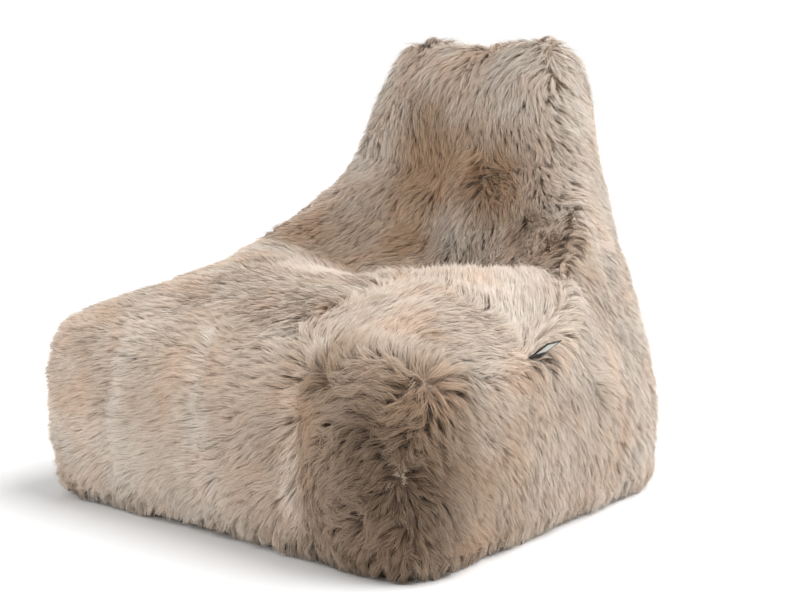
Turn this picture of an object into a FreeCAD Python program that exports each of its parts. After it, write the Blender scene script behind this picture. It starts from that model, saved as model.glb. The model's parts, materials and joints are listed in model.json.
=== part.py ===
import FreeCAD, Part
import math
import os
from FreeCAD import Placement, Rotation, Vector

# Bean bag chair with a long-wool sheepskin cover over an inner bag of beads.
# Millimetres. The origin is on the floor under the middle of the chair, +Z is up, the seat opens
# towards -Y and +X is the sitter's left-hand side.

# ---- driving dimensions ----
SKIRT_Z = 22.0            # the seam between the sheepskin and the dark base, above the floor
PILE_DEPTH = 30.0         # hide and combed wool of the cover, from its outer silhouette inwards
LINER_DEPTH = 33.5        # outer face of the inner bag, below the outer silhouette
LINER_CLOTH = 2.0         # inner bag: two layers of cotton with their seam allowance
FILL_DEPTH = 36.0         # outer face of the bead fill, below the outer silhouette
RIDGE_SHARE = 0.72        # deepest layer allowed under a ridge, as a share of the ridge's radius
BASE_CLOTH = 3.0          # hard-wearing base fabric with its backing
LINER_FLOOR_Z = 12.0      # underside of the inner bag
FILL_FLOOR_Z = 15.0       # underside of the bead fill
CENTRE_SHIFT_Y = -29.3    # moves the base centre so that the origin is under the middle of the chair

COVER_ZIP_LENGTH = 480.0
LINER_ZIP_LENGTH = 420.0
COVER_ZIP_Y = 407.0       # inner face of the cover zip's tape, before the centre shift
LABEL_SEAM = (462.0, -70.0, 342.0)   # where the label tab leaves the side seam, before the centre shift
LABEL_TILT = 38.0         # degrees that the label tab stands up from level

# Stations along the middle strip of the cover, from the front skirt over the seat, up the backrest
# and down the back to the rear skirt. Each has the middle of the strip (y, z), its seam with the side
# panel (x, y, z), and the point between them: its share of the half width, and its swell in y and z.
STATIONS = (
    ((-428, SKIRT_Z), (440, -405, SKIRT_Z), (0.62, -15, 0)),
    ((-466, 130), (465, -430, 125), (0.58, -14, 0)),
    ((-464, 265), (468, -428, 258), (0.56, -12, 0)),
    ((-405, 385), (441, -386, 360), (0.58, -12, 6)),
    ((-205, 455), (464, -205, 342), (0.62, 0, 24)),
    ((10, 418), (462, -55, 340), (0.60, 0, 84)),
    ((150, 380), (412, 95, 466), (0.68, 0, 40)),
    ((222, 480), (347, 215, 540), (0.62, 0, 8)),
    ((256, 630), (270, 278, 655), (0.58, -8, 0)),
    ((290, 780), (238, 318, 780), (0.58, -8, 0)),
    ((350, 887), (200, 362, 888), (0.58, 0, 2)),
    ((425, 900), (182, 428, 906), (0.58, 0, 2)),
    ((500, 866), (196, 488, 866), (0.58, 0, 4)),
    ((528, 790), (222, 503, 790), (0.58, 10, 0)),
    ((528, 690), (234, 496, 690), (0.58, 10, 0)),
    ((520, 590), (266, 484, 590), (0.58, 10, 0)),
    ((510, 480), (316, 466, 480), (0.58, 12, 0)),
    ((492, 320), (388, 448, 320), (0.56, 12, 0)),
    ((468, 160), (438, 430, 160), (0.56, 10, 0)),
    ((436, SKIRT_Z), (438, 398, SKIRT_Z), (0.62, 14, 0)),
)
FRONT_TOP, CREASE, BACKREST_TOP, CROWN = 3, 6, 10, 11
BACK_TOP, BACK_SPLIT, REAR_SKIRT = 12, 16, 19

# The side panel between those seams: rows from the skirt up, columns from front to rear.
SIDE_POINTS = (
    ((462, -225, SKIRT_Z), (462, -30, SKIRT_Z), (462, 110, SKIRT_Z), (462, 250, SKIRT_Z)),
    ((481, -215, 130), (485, -30, 130), (483, 115, 130), (470, 260, 130)),
    ((479, -210, 265), (484, -30, 275), (474, 105, 310), (440, 270, 320)),
)
WING_FOOT = (370, 300, 490)
WING_POINTS = ((328, 345, 585), (280, 385, 675), (248, 410, 785))


# ---- the outer form: a smooth mesh through the stations ----
def blend(a, b, share):
    return a + (b - a) * share


def cage():
    """The form's points, and each panel as a grid of point numbers."""
    points = []
    numbers = {}

    def number(key, place):
        if key not in numbers:
            numbers[key] = len(points)
            points.append(Vector(*place) + Vector(0, CENTRE_SHIFT_Y, 0))
        return numbers[key]

    def strip_row(row):
        (middle_y, middle_z), (x, y, z), (share, swell_y, swell_z) = STATIONS[row]
        between_y = blend(middle_y, y, share ** 2) + swell_y
        between_z = blend(middle_z, z, share ** 2) + swell_z
        return [number(("strip", row, -2), (-x, y, z)),
                number(("strip", row, -1), (-x * share, between_y, between_z)),
                number(("strip", row, 0), (0, middle_y, middle_z)),
                number(("strip", row, 1), (x * share, between_y, between_z)),
                number(("strip", row, 2), (x, y, z))]

    def side_rows(side):
        rows = []
        for level, places in enumerate(SIDE_POINTS):
            row = [number(("strip", level, 2 * side), None)]
            row += [number(("side", level, column, side), (x * side, y, z))
                    for column, (x, y, z) in enumerate(places)]
            rows.append(row + [number(("strip", REAR_SKIRT - level, 2 * side), None)])
        foot = number(("wing", 0, side), (WING_FOOT[0] * side, WING_FOOT[1], WING_FOOT[2]))
        seam = [number(("strip", row, 2 * side), None) for row in range(FRONT_TOP, CREASE + 1)]
        rows.append(seam + [foot, number(("strip", BACK_SPLIT, 2 * side), None)])
        return rows

    def wing_rows(side):
        rows = [[number(("strip", CREASE, 2 * side), None), number(("wing", 0, side), None),
                 number(("strip", BACK_SPLIT, 2 * side), None)]]
        for level, (x, y, z) in enumerate(WING_POINTS, 1):
            rows.append([number(("strip", CREASE + level, 2 * side), None),
                         number(("wing", level, side), (x * side, y, z)),
                         number(("strip", BACK_SPLIT - level, 2 * side), None)])
        rows.append([number(("strip", row, 2 * side), None) for row in (BACKREST_TOP, CROWN, BACK_TOP)])
        return rows

    strip = [strip_row(row) for row in range(len(STATIONS))]
    grids = {"front": strip[:FRONT_TOP + 1],
             "seat": strip[FRONT_TOP:CREASE + 1],
             "backrest": strip[CREASE:BACKREST_TOP + 1],
             "crown_front": strip[BACKREST_TOP:CROWN + 1],
             "crown_rear": strip[CROWN:BACK_TOP + 1],
             "back_upper": strip[BACK_TOP:BACK_SPLIT + 1],
             "back_lower": strip[BACK_SPLIT:]}
    for side, word in ((1, "left"), (-1, "right")):
        rows, wing = side_rows(side), wing_rows(side)
        for name, source, first, last in (("side_front_", rows, 0, 3), ("side_middle_", rows, 3, 4),
                                          ("side_rear_", rows, 4, 5),
                                          ("wing_front_", wing, 0, 1), ("wing_rear_", wing, 1, 2)):
            grids[name + word] = [row[first:last + 1][::side] for row in source]
    return points, grids


def cells(grid):
    """The four-cornered cells of a grid, all turning the same way seen from outside."""
    return [(low[k], low[k + 1], high[k + 1], high[k])
            for low, high in zip(grid, grid[1:]) for k in range(len(low) - 1)]


def average(vectors):
    vectors = list(vectors)
    return sum(vectors, Vector()) * (1 / len(vectors))


def subdivide(points, grids):
    """One Catmull-Clark step. The first points of the result are the given ones, moved."""
    quads = [cell for grid in grids.values() for cell in cells(grid)]
    edge_quads = {}
    point_quads = {}
    for number, quad in enumerate(quads):
        for here, there in zip(quad, quad[1:] + quad[:1]):
            edge_quads.setdefault(frozenset((here, there)), []).append(number)
            point_quads.setdefault(here, []).append(number)
    centres = [average(points[k] for k in quad) for quad in quads]
    middles = {edge: average(points[k] for k in edge) for edge in edge_quads}
    point_edges = {}
    for edge in edge_quads:
        for k in edge:
            point_edges.setdefault(k, []).append(edge)

    def moved(k):
        rim = [middles[edge] for edge in point_edges[k] if len(edge_quads[edge]) == 1]
        if rim:
            return points[k] * 0.5 + average(rim) * 0.5
        count = len(point_edges[k])
        around = average(centres[q] for q in point_quads[k])
        along = average(middles[edge] for edge in point_edges[k])
        return (around + along * 2 + points[k] * (count - 3)) * (1 / count)

    result = [moved(k) for k in range(len(points))]
    edge_numbers = {}
    for edge, owners in edge_quads.items():
        edge_numbers[edge] = len(result)
        inner = average([middles[edge], average(centres[q] for q in owners)])
        result.append(middles[edge] if len(owners) == 1 else inner)
    quad_numbers = {}
    for quad, centre in zip(quads, centres):
        quad_numbers[frozenset(quad)] = len(result)
        result.append(centre)

    def along_row(row):
        pairs = [(a, edge_numbers[frozenset((a, b))]) for a, b in zip(row, row[1:])]
        return [k for pair in pairs for k in pair] + [row[-1]]

    def between_rows(low, high):
        upright = [edge_numbers[frozenset(pair)] for pair in zip(low, high)]
        inner = [quad_numbers[frozenset((low[k], low[k + 1], high[k], high[k + 1]))]
                 for k in range(len(low) - 1)]
        pairs = list(zip(upright, inner))
        return [k for pair in pairs for k in pair] + [upright[-1]]

    finer = {}
    for name, grid in grids.items():
        rows = [along_row(grid[0])]
        for low, high in zip(grid, grid[1:]):
            rows += [between_rows(low, high), along_row(high)]
        finer[name] = rows
    return result, finer


def refined(points, grids):
    for _ in range(2):
        points, grids = subdivide(points, grids)
    return points, grids


def smooth_form():
    """The refined mesh whose first points lie on the stations, after a few corrections."""
    places, grids = cage()
    points = list(places)
    for _ in range(4):
        fine_points, fine_grids = refined(points, grids)
        points = [point + (place - fine) * 0.9 for point, place, fine in zip(points, places, fine_points)]
    return refined(points, grids)


def outward_normals(points, grids):
    """A unit normal at each point. At the skirt it is level, so that every layer ends in one plane."""
    normals = [Vector() for _ in points]
    for grid in grids.values():
        for a, b, c, d in cells(grid):
            facing = (points[c] - points[a]).cross(points[d] - points[b])
            for k in (a, b, c, d):
                normals[k] += facing
    for k, point in enumerate(points):
        if abs(point.z - SKIRT_Z) < 0.01:
            normals[k].z = 0
        normals[k].normalize()
    return normals


def depth_shares(points, grids, normals):
    """How much of a layer's depth each point takes: less on a tight ridge, so no two layers cross."""
    beside = [set() for _ in points]
    for grid in grids.values():
        for quad in cells(grid):
            for k in quad:
                beside[k].update(quad)
    shares = []
    for k, point in enumerate(points):
        share = 1.0
        for other in beside[k] - {k}:
            apart = point - points[other]
            bend = (normals[k] - normals[other]).dot(apart) / apart.Length ** 2
            if bend > 0:
                share = min(share, RIDGE_SHARE / (bend * FILL_DEPTH))
        shares.append(share)
    for _ in range(4):
        shares = [min(share, sum(shares[other] for other in beside[k]) / len(beside[k]))
                  for k, share in enumerate(shares)]
    return shares


POINTS, GRIDS = smooth_form()
NORMALS = outward_normals(POINTS, GRIDS)
SHARES = depth_shares(POINTS, GRIDS, NORMALS)
SKIRT_PANELS = ("front", "side_front_left", "side_middle_left", "side_rear_left", "back_lower",
                "side_rear_right", "side_middle_right", "side_front_right")


# ---- surfaces and solids from the form ----
def clamped(count):
    """Knots and multiplicities of a clamped cubic spline with this many poles."""
    spans = count - 3
    return [4] + [1] * (spans - 1) + [4], list(range(spans + 1))


def inside(k, depth):
    return POINTS[k] - NORMALS[k] * (depth * SHARES[k])


def panel_surface(name, depth):
    """The panel's surface, this far inside the outer silhouette."""
    poles = [[inside(k, depth) for k in row] for row in GRIDS[name]]
    row_mults, row_knots = clamped(len(poles))
    column_mults, column_knots = clamped(len(poles[0]))
    surface = Part.BSplineSurface()
    surface.buildFromPolesMultsKnots(poles, row_mults, column_mults, row_knots, column_knots,
                                     False, False, 3, 3)
    return surface


def skirt_ring(depth, height):
    """The curves of the lower seam, this far inside it and at this height."""
    edges = []
    for name in SKIRT_PANELS:
        row = GRIDS[name][-1] if name == "back_lower" else GRIDS[name][0]
        poles = [inside(k, depth) for k in row]
        poles = [Vector(pole.x, pole.y, height) for pole in poles]
        mults, knots = clamped(len(poles))
        curve = Part.BSplineCurve()
        curve.buildFromPolesMultsKnots(poles, mults, knots, False, 3)
        edges.append(curve.toShape())
    return edges


def ring_face(edges):
    return Part.Face(Part.Wire(Part.sortEdges(edges)[0]))


def closed_solid(faces):
    shell = Part.Shell(faces)
    shell.sewShape()
    if Part.Solid(shell).Volume < 0:
        shell.reverse()
    solid = Part.Solid(shell)
    if not solid.isValid() or not solid.isClosed():
        raise ValueError("the solid is not closed")
    return solid


def ring_walls(first, second):
    """Ruled faces between two rings, each given as (depth, height)."""
    return [Part.makeRuledSurface(a, b) for a, b in zip(skirt_ring(*first), skirt_ring(*second))]


def frustum(low, high):
    """The solid between two rings, each given as (depth, height)."""
    caps = [ring_face(skirt_ring(*low)), ring_face(skirt_ring(*high))]
    return closed_solid(ring_walls(low, high) + caps)


def patch(name, depth, rows, columns):
    """Part of a panel's surface, between shares of its length and width."""
    surface = panel_surface(name, depth)
    row_end = len(GRIDS[name]) - 3
    column_end = len(GRIDS[name][0]) - 3
    surface.segment(rows[0] * row_end, rows[1] * row_end, columns[0] * column_end, columns[1] * column_end)
    return surface


def slab(name, rows, columns, depth):
    """A panel piece as thick as depth, with its outer face on the silhouette."""
    outer = patch(name, 0, rows, columns)
    inner = patch(name, depth, rows, columns)
    u_first, u_last, v_first, v_last = outer.bounds()
    faces = [outer.toShape(), inner.toShape()]
    for u in (u_first, u_last):
        faces.append(Part.makeRuledSurface(outer.uIso(u).toShape(), inner.uIso(u).toShape()))
    for v in (v_first, v_last):
        faces.append(Part.makeRuledSurface(outer.vIso(v).toShape(), inner.vIso(v).toShape()))
    return closed_solid(faces)


def dome(depth):
    """The faces of the whole form above the skirt, this far inside the silhouette."""
    return [panel_surface(name, depth).toShape() for name in GRIDS]


def tray(outer_low, outer_high, inner_low, inner_high):
    return frustum(outer_low, outer_high).cut(frustum(inner_low, inner_high))


def placed(shape, placement):
    moved = shape.copy()
    moved.Placement = placement * shape.Placement
    return moved


def block(x0, x1, y0, y1, z0, z1):
    return Part.makeBox(x1 - x0, y1 - y0, z1 - z0, Vector(x0, y0, z0))


# ---- the sheepskin pieces ----
# Each piece is one or more (panel, shares along it, shares across it), sewn without a step.
WHOLE = (0, 1)
HALVES = {"right": (0, 0.5), "left": (0.5, 1)}
SEAM_GAP = 0.0006         # share of the seat's width left clear at the seam with each side
THIRDS = {"right": (SEAM_GAP, 0.33), "middle": (0.33, 0.67), "left": (0.67, 1 - SEAM_GAP)}
SEAT_SPLIT, BACKREST_SPLIT, BACK_PELT_SPLIT, SIDE_SPLIT = 0.48, 0.5, 0.5, 0.5
PELTS = {"backrest_pelt_upper": [("backrest", (BACKREST_SPLIT, 1), WHOLE), ("crown_front", WHOLE, WHOLE)],
         "back_pelt_upper": [("crown_rear", WHOLE, WHOLE), ("back_upper", (0, BACK_PELT_SPLIT), WHOLE)]}
for index in range(4):
    PELTS["front_pelt_%d" % (index + 1)] = [("front", WHOLE, (index / 4, (index + 1) / 4))]
for word, share in THIRDS.items():
    PELTS["seat_front_pelt_" + word] = [("seat", (0, SEAT_SPLIT), share)]
    PELTS["seat_hollow_pelt_" + word] = [("seat", (SEAT_SPLIT, 1), share)]
for word, share in HALVES.items():
    PELTS["backrest_pelt_lower_" + word] = [("backrest", (0, BACKREST_SPLIT), share)]
    PELTS["back_pelt_middle_" + word] = [("back_upper", (BACK_PELT_SPLIT, 1), share)]
    PELTS["back_pelt_lower_" + word] = [("back_lower", WHOLE, share)]
    front_share, middle_share = (0, SIDE_SPLIT), (SIDE_SPLIT, 1)
    if word == "right":
        front_share, middle_share = middle_share, front_share
    PELTS["side_pelt_front_" + word] = [("side_front_" + word, WHOLE, front_share)]
    PELTS["side_pelt_middle_" + word] = [("side_front_" + word, WHOLE, middle_share),
                                         ("side_middle_" + word, WHOLE, WHOLE)]
    PELTS["side_pelt_rear_" + word] = [("side_rear_" + word, WHOLE, WHOLE)]
    PELTS["wing_pelt_" + word] = [("wing_front_" + word, WHOLE, WHOLE), ("wing_rear_" + word, WHOLE, WHOLE)]


def pelt(areas):
    solids = [slab(panel, rows, columns, PILE_DEPTH) for panel, rows, columns in areas]
    return solids[0].multiFuse(solids[1:]).removeSplitter() if solids[1:] else solids[0]


# ---- the label tab in the left side seam ----
LABEL_WIDTH = 45.0        # along the seam
LABEL_REACH = 34.0        # beyond the wool's silhouette
LABEL_ROOT = 22.0         # how deep in the wool the tab is sewn
LABEL_THICKNESS = 2.4     # woven tape folded double
LABEL_NOTCH_SPREAD = 20.0  # degrees that the wool parts to each side of the tab


def at_label(shape):
    """Moves a shape drawn along +X from the label's root to its place in the seam."""
    direction = Vector(math.cos(math.radians(LABEL_TILT)), 0, math.sin(math.radians(LABEL_TILT)))
    root = Vector(*LABEL_SEAM) + Vector(0, CENTRE_SHIFT_Y, 0) - direction * LABEL_ROOT
    return placed(shape, Placement(root, Rotation(Vector(0, 1, 0), -LABEL_TILT)))


def label_tab():
    """Tape folded double, with a round fold at its tip and a rolled hem at its root, where it bends."""
    half = LABEL_THICKNESS / 2
    tip = LABEL_ROOT + LABEL_REACH - half
    tape = block(0, tip, -LABEL_WIDTH / 2, LABEL_WIDTH / 2, -half, half)
    for end in (0, tip):
        tape = tape.fuse(Part.makeCylinder(half, LABEL_WIDTH, Vector(end, -LABEL_WIDTH / 2, 0),
                                           Vector(0, 1, 0)))
    return at_label(tape.removeSplitter())


def label_notch():
    """The wedge of parted wool that the tab stands and swings in."""
    spread = math.tan(math.radians(LABEL_NOTCH_SPREAD))
    reach = LABEL_ROOT + LABEL_REACH
    near, far = 3.0, 3.0 + reach * spread
    outline = [Vector(-3.2, 0, -near), Vector(reach, 0, -far), Vector(reach, 0, far), Vector(-3.2, 0, near)]
    face = Part.Face(Part.makePolygon(outline + outline[:1]))
    width = LABEL_WIDTH + 3
    return at_label(face.extrude(Vector(0, width, 0)).translated(Vector(0, -width / 2, 0)))


# ---- zips. Drawn along X with the tape's outer face in z = 0 and the slider standing up in +Z ----
TAPE_HALF_WIDTH = 9.5
TAPE_THICKNESS = 0.6
CHAIN_GAP = 0.8           # from the zip's centre line to each row of coils
COIL_WIDTH = 2.2
COIL_HEIGHT = 2.4
STOP_LENGTH = 3.2
ZIP_END = 22.0            # plain tape past each end of the coils
SLIDER_LENGTH = 14.0
SLIDER_WIDTH = 10.0
PLATE = 1.2
BRIDGE_TOP = 8.0
PIVOT_Z = 5.7             # axis of the pull, under the slider's bridge


def zip_track(length):
    """Both tapes, both rows of coils and the stops of a closed zip."""
    half = length / 2
    coil_edge = CHAIN_GAP + COIL_WIDTH
    pieces = {}
    for word, sign in (("upper", -1), ("lower", 1)):
        across = sorted((sign * CHAIN_GAP, sign * TAPE_HALF_WIDTH))
        pieces["tape_" + word] = block(-half - ZIP_END, half + ZIP_END, *across, -TAPE_THICKNESS, 0)
        across = sorted((sign * CHAIN_GAP, sign * coil_edge))
        coil = block(-half, half, *across, 0, COIL_HEIGHT)
        long_edges = [edge for edge in coil.Edges
                      if edge.Length > COIL_WIDTH * 2 and edge.CenterOfMass.z > COIL_HEIGHT / 2]
        pieces["coil_" + word] = coil.makeFillet(0.8, long_edges)
    stop_start = half + 0.3
    stops = [block(stop_start, stop_start + STOP_LENGTH, CHAIN_GAP, coil_edge, 0, COIL_HEIGHT),
             block(stop_start, stop_start + STOP_LENGTH, -coil_edge, -CHAIN_GAP, 0, COIL_HEIGHT),
             block(-stop_start - STOP_LENGTH, -stop_start, -coil_edge, coil_edge, 0, COIL_HEIGHT)]
    pieces["stops"] = Part.Compound(stops)
    return pieces


def slider_plate(z):
    plate = block(-SLIDER_LENGTH / 2, SLIDER_LENGTH / 2, -SLIDER_WIDTH / 2, SLIDER_WIDTH / 2, z, z + PLATE)
    corners = [edge for edge in plate.Edges if abs(edge.tangentAt(0).z) > 0.9]
    return plate.makeFillet(2.6, corners)


def zip_slider():
    """Two plates round the chain, the web between them, side flanges and the bridge for a pull."""
    top = COIL_HEIGHT + 0.5
    slider = slider_plate(top).fuse(slider_plate(-TAPE_THICKNESS - 0.4 - PLATE))
    slider = slider.fuse(block(3, 6.5, -0.45, 0.45, -TAPE_THICKNESS - 0.5, top + 0.1))
    flange_inner = CHAIN_GAP + COIL_WIDTH + 0.5
    for sign in (1, -1):
        across = sorted((sign * flange_inner, sign * SLIDER_WIDTH / 2))
        slider = slider.fuse(block(-4.4, 4.4, *across, 0.4, top + 0.1))
    surface = top + PLATE
    bridge = block(-4.6, 4.6, -1.2, 1.2, surface - 0.1, BRIDGE_TOP)
    tops = [edge for edge in bridge.Edges
            if abs(edge.tangentAt(0).y) > 0.9 and edge.CenterOfMass.z > BRIDGE_TOP - 0.1]
    bridge = bridge.makeFillet(1.4, tops)
    window = block(-3.2, 3.2, -2, 2, surface, BRIDGE_TOP - 1.1)
    return slider.fuse(bridge.cut(window)).removeSplitter()


def zip_pull():
    """A flat pull whose cross bar turns under the slider's bridge."""
    bar = Part.makeCylinder(0.8, 7.0, Vector(0, -3.5, PIVOT_Z), Vector(0, 1, 0))
    plate = block(-32, -7, -4.5, 4.5, PIVOT_Z - 0.8, PIVOT_Z + 0.8)
    corners = [edge for edge in plate.Edges if abs(edge.tangentAt(0).z) > 0.9]
    pull = plate.makeFillet(3.2, corners).fuse(bar)
    for sign in (1, -1):
        across = sorted((sign * 2.2, sign * 3.5))
        pull = pull.fuse(block(-9, 0, *across, PIVOT_Z - 0.8, PIVOT_Z + 0.8))
    hole = block(-28, -20, -1.6, 1.6, PIVOT_Z - 1, PIVOT_Z + 1)
    return pull.cut(hole).removeSplitter()


# The cover zip stands in the rear rim of the base and faces backwards. The inner bag's zip lies in
# the bag's floor and faces down. Its slider has no pull, so that a child can't open it.
COVER_ZIP_Z = SKIRT_Z - TAPE_HALF_WIDTH
COVER_ZIP_PLACE = Placement(Vector(0, COVER_ZIP_Y + TAPE_THICKNESS + CENTRE_SHIFT_Y, COVER_ZIP_Z),
                            Rotation(Vector(1, 0, 0), -90))
LINER_ZIP_PLACE = Placement(Vector(0, CENTRE_SHIFT_Y, LINER_FLOOR_Z), Rotation(Vector(1, 0, 0), 180))


def zip_nodes(prefix, length, place, with_pull):
    parked = Vector(length / 2 - SLIDER_LENGTH / 2 - 1, 0, 0)
    pieces = zip_track(length)
    pieces["slider"] = zip_slider().translated(parked)
    if with_pull:
        pieces["pull"] = zip_pull().translated(parked)
    return {prefix + name: placed(piece, place) for name, piece in pieces.items()}


# ---- the soft layers ----
def base_panel():
    """The dark base: a flat floor with a low rim under the sheepskin, open at the rear for the zip."""
    shell = tray((26, 0), (16, SKIRT_Z), (26 + BASE_CLOTH, BASE_CLOTH), (16 + BASE_CLOTH, SKIRT_Z))
    half = COVER_ZIP_LENGTH / 2 + ZIP_END
    rear = COVER_ZIP_Y + CENTRE_SHIFT_Y
    return shell.cut(block(-half, half, rear - 60, rear + 60, BASE_CLOTH, SKIRT_Z + 1))


def inner_bag_body():
    inner_depth = LINER_DEPTH + LINER_CLOTH
    hem = ring_walls((LINER_DEPTH, SKIRT_Z), (inner_depth, SKIRT_Z))
    return closed_solid(dome(LINER_DEPTH) + dome(inner_depth) + hem)


def inner_bag_base():
    floor_top = LINER_FLOOR_Z + LINER_CLOTH
    shell = tray((36.5, LINER_FLOOR_Z), (LINER_DEPTH, SKIRT_Z),
                 (38.0, floor_top), (LINER_DEPTH + LINER_CLOTH, SKIRT_Z))
    half = LINER_ZIP_LENGTH / 2 + ZIP_END
    slot = block(-half, half, CENTRE_SHIFT_Y - TAPE_HALF_WIDTH, CENTRE_SHIFT_Y + TAPE_HALF_WIDTH,
                 LINER_FLOOR_Z - 1, floor_top + 1)
    return shell.cut(slot)


def bead_fill():
    low, high = (39.0, FILL_FLOOR_Z), (FILL_DEPTH, SKIRT_Z)
    return closed_solid(dome(FILL_DEPTH) + ring_walls(low, high) + [ring_face(skirt_ring(*low))])


def all_nodes():
    nodes = {name: pelt(areas) for name, areas in PELTS.items()}
    notch = label_notch()
    for name in ("seat_front_pelt_left", "seat_hollow_pelt_left", "side_pelt_front_left",
                 "side_pelt_middle_left"):
        nodes[name] = nodes[name].cut(notch)
    nodes["label_tab"] = label_tab()
    nodes["base_panel"] = base_panel()
    nodes["inner_bag_body"] = inner_bag_body()
    nodes["inner_bag_base"] = inner_bag_base()
    nodes["bead_fill"] = bead_fill()
    nodes.update(zip_nodes("cover_zip_", COVER_ZIP_LENGTH, COVER_ZIP_PLACE, True))
    nodes.update(zip_nodes("inner_zip_", LINER_ZIP_LENGTH, LINER_ZIP_PLACE, False))
    return nodes


os.makedirs("parts", exist_ok=True)
for node, shape in all_nodes().items():
    shape.exportStep("parts/%s.step" % node)
    box = shape.BoundBox
    print("%-30s %d solids %10.1f cm3  x %7.1f %7.1f  y %7.1f %7.1f  z %6.1f %6.1f" % (
        node, len(shape.Solids), shape.Volume / 1000, box.XMin, box.XMax, box.YMin, box.YMax,
        box.ZMin, box.ZMax))
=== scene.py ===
import itertools
import json
import math
from types import SimpleNamespace

import bpy
import numpy as np
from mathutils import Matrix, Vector
from mathutils.bvhtree import BVHTree
from mathutils.kdtree import KDTree


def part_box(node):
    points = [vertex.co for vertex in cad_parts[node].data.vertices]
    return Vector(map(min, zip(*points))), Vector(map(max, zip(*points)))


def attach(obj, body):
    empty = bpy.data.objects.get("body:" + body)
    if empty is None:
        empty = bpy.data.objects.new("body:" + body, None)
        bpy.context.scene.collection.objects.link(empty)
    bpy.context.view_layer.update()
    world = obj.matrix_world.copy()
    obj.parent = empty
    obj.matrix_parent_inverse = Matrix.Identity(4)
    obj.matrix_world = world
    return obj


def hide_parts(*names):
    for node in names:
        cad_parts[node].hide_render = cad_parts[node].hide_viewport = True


# Bean bag chair with a long-wool sheepskin cover. Metres, in the CAD model's frame.
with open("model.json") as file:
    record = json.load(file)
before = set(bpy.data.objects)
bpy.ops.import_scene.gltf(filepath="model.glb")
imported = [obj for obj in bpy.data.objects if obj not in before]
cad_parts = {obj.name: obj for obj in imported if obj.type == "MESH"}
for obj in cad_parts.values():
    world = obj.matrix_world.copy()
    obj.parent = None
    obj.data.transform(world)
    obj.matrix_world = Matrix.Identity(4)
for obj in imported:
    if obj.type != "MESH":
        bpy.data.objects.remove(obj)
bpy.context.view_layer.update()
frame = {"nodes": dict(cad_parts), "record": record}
NODES = frame["nodes"]
SCENE = bpy.context.scene
RANDOM = np.random.default_rng(41)

# ---- how the cover is built ----
HIDE_DEPTH = 0.026        # the hide's outer face, below the combed wool's silhouette
HIDE_HEM_DEPTH = 0.017    # the same, at the seam with the base
HIDE_VOXEL = 0.008
SEAM_PULL = 0.005         # how far stitching pulls the hide in along each seam
SEAM_REACH = 0.016
PUFF_LIMIT = 0.007        # how far a pelt may swell between its seams
PUFF_FRAMES = 20
HELD_WITHIN = (0.006, 0.016, 0.026)    # how near a seam the cloth is held while it swells,
HELD_SHARES = (1.0, 0.6, 0.25)         # and how firmly at each of those distances
HEM_Z = 0.022             # the seam between the pelts and the base
HEM_ZONE = 0.03           # below this the hide isn't pulled in and doesn't swell
ZIP_HALF = 0.262          # half the gap in the base's rim that the cover zip fills

DENSITY = 230000          # strands on a square metre of hide
BACK_DENSITY = 150000     # the same, on the back
LOCK_SIZE = 0.0095        # one lock of wool has about this much hide, across
WOOL_LENGTH = 0.041
WOOL_WIDTH = 0.0010
WOOL_CLEARANCE = (0.018, 0.034)    # the least and most room that wool rises into
SEGMENTS = 3
SHARES = np.arange(SEGMENTS + 1) / SEGMENTS    # along a strand, from root to tip
CORNERS = 2 * SEGMENTS + 1                     # a strand's points: pairs, and one at the tip

PELTS = sorted(name for name in NODES if "pelt" in name)


# ---- small helpers ----
def unit(vectors):
    return vectors / np.maximum(np.linalg.norm(vectors, axis=-1, keepdims=True), 1e-9)


def smooth_step(values, start, end):
    share = np.clip((values - start) / (end - start), 0, 1)
    return share * share * (3 - 2 * share)


def field(points, size, seed):
    """A smooth random value from -1 to 1 at each point, with lumps of this size."""
    cell = points / size + 31.7 * seed
    base = np.floor(cell).astype(np.int64)
    part = cell - base
    part = part * part * (3 - 2 * part)
    total = np.zeros(len(points))
    for corner in itertools.product((0, 1), repeat=3):
        key = base + corner
        mixed = key[:, 0] * 73856093 ^ key[:, 1] * 19349663 ^ key[:, 2] * 83492791 ^ seed * 40503
        mixed = (mixed ^ (mixed >> 13)) * 1274126177 & 0x7FFFFFFF
        mixed = (mixed ^ (mixed >> 15)) * 668265263 & 0x7FFFFFFF
        weight = np.prod(np.where(corner, part, 1 - part), axis=1)
        total += weight * (mixed / 0x3FFFFFFF - 1)
    return total


def vector_field(points, size, seed):
    return np.stack([field(points, size, seed + k) for k in range(3)], axis=1)


def node_mesh(name):
    """A CAD node's points, and its faces as triangles."""
    mesh = NODES[name].data
    mesh.calc_loop_triangles()
    points = np.empty(len(mesh.vertices) * 3)
    mesh.vertices.foreach_get("co", points)
    triangles = np.empty(len(mesh.loop_triangles) * 3, dtype=np.int32)
    mesh.loop_triangles.foreach_get("vertices", triangles)
    return points.reshape(-1, 3), triangles.reshape(-1, 3)


def tree_of(names):
    """One search tree over several nodes, and which of them each triangle belongs to."""
    points, triangles, owners = [], [], []
    start = 0
    for number, name in enumerate(names):
        places, faces = node_mesh(name)
        points.append(places)
        triangles.append(faces + start)
        owners.append(np.full(len(faces), number))
        start += len(places)
    points, triangles = np.concatenate(points), np.concatenate(triangles)
    return BVHTree.FromPolygons(points.tolist(), triangles.tolist()), np.concatenate(owners)


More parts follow.
